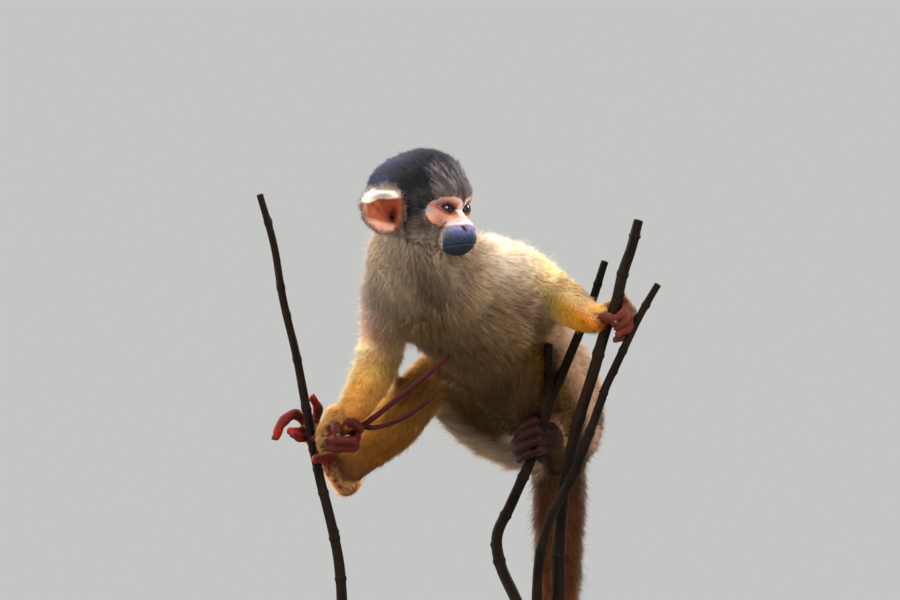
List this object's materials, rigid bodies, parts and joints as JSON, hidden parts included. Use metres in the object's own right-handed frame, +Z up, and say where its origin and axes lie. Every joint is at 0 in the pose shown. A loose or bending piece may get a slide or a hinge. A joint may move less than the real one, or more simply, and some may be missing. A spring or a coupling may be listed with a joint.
{
  "type": "black-capped squirrel monkey display model",
  "caption": "Life-size squirrel monkey climbing between two thin shrubs, head turned aside and tail hanging, held over a flat base by short rods.",
  "frame": {"origin": "middle of the underside of the stand base", "axes": "+Z up; +X along the longer side of the base, towards the side that the face turns to; the chest faces -Y"},
  "size_m": [0.272, 0.24, 0.5711],
  "materials": {
    "bark": "dark brown bark, dull, redder along the lit edges",
    "twig_bark": "smooth purple-red young bark",
    "stand_paint": "matt off-white lacquer",
    "stand_metal": "satin grey metal",
    "eye": "wet glossy dark brown iris and pupil",
    "cap_fur": "short dense charcoal fur with a blue-purple sheen",
    "cream_fur": "short cream-grey fur with darker partings",
    "olive_fur": "short olive-brown grizzled fur",
    "gold_fur": "short golden-orange fur",
    "ear_skin": "thin translucent orange-pink skin with cream hair at the rim",
    "bare_skin": "creased red-brown skin"
  },
  "bodies": {
    "root": {"perch_left": "bark", "perch_twig": "twig_bark", "perch_main": "bark", "perch_fork": "bark", "perch_side": "bark", "stand_base": "stand_paint", "stand_rod_left": "stand_metal", "stand_rod_right": "stand_metal", "eye_right": "eye", "eye_left": "eye", "head": "cap_fur", "ear_right": "ear_skin", "ear_left": "ear_skin", "chest": "cream_fur", "abdomen": "olive_fur", "neck": "cream_fur", "tail_root": "olive_fur", "tail_upper": "olive_fur", "tail_lower": "olive_fur", "tail_tip": "cap_fur", "forearm_right": "gold_fur", "upper_arm_right": "cream_fur", "shin_right": "gold_fur", "thigh_right": "olive_fur", "forearm_left": "gold_fur", "upper_arm_left": "cream_fur", "shin_left": "gold_fur", "thigh_left": "cream_fur", "hand_right": "bare_skin", "hand_left": "bare_skin", "foot_right": "bare_skin", "foot_left": "bare_skin"}
  },
  "joints": []
}
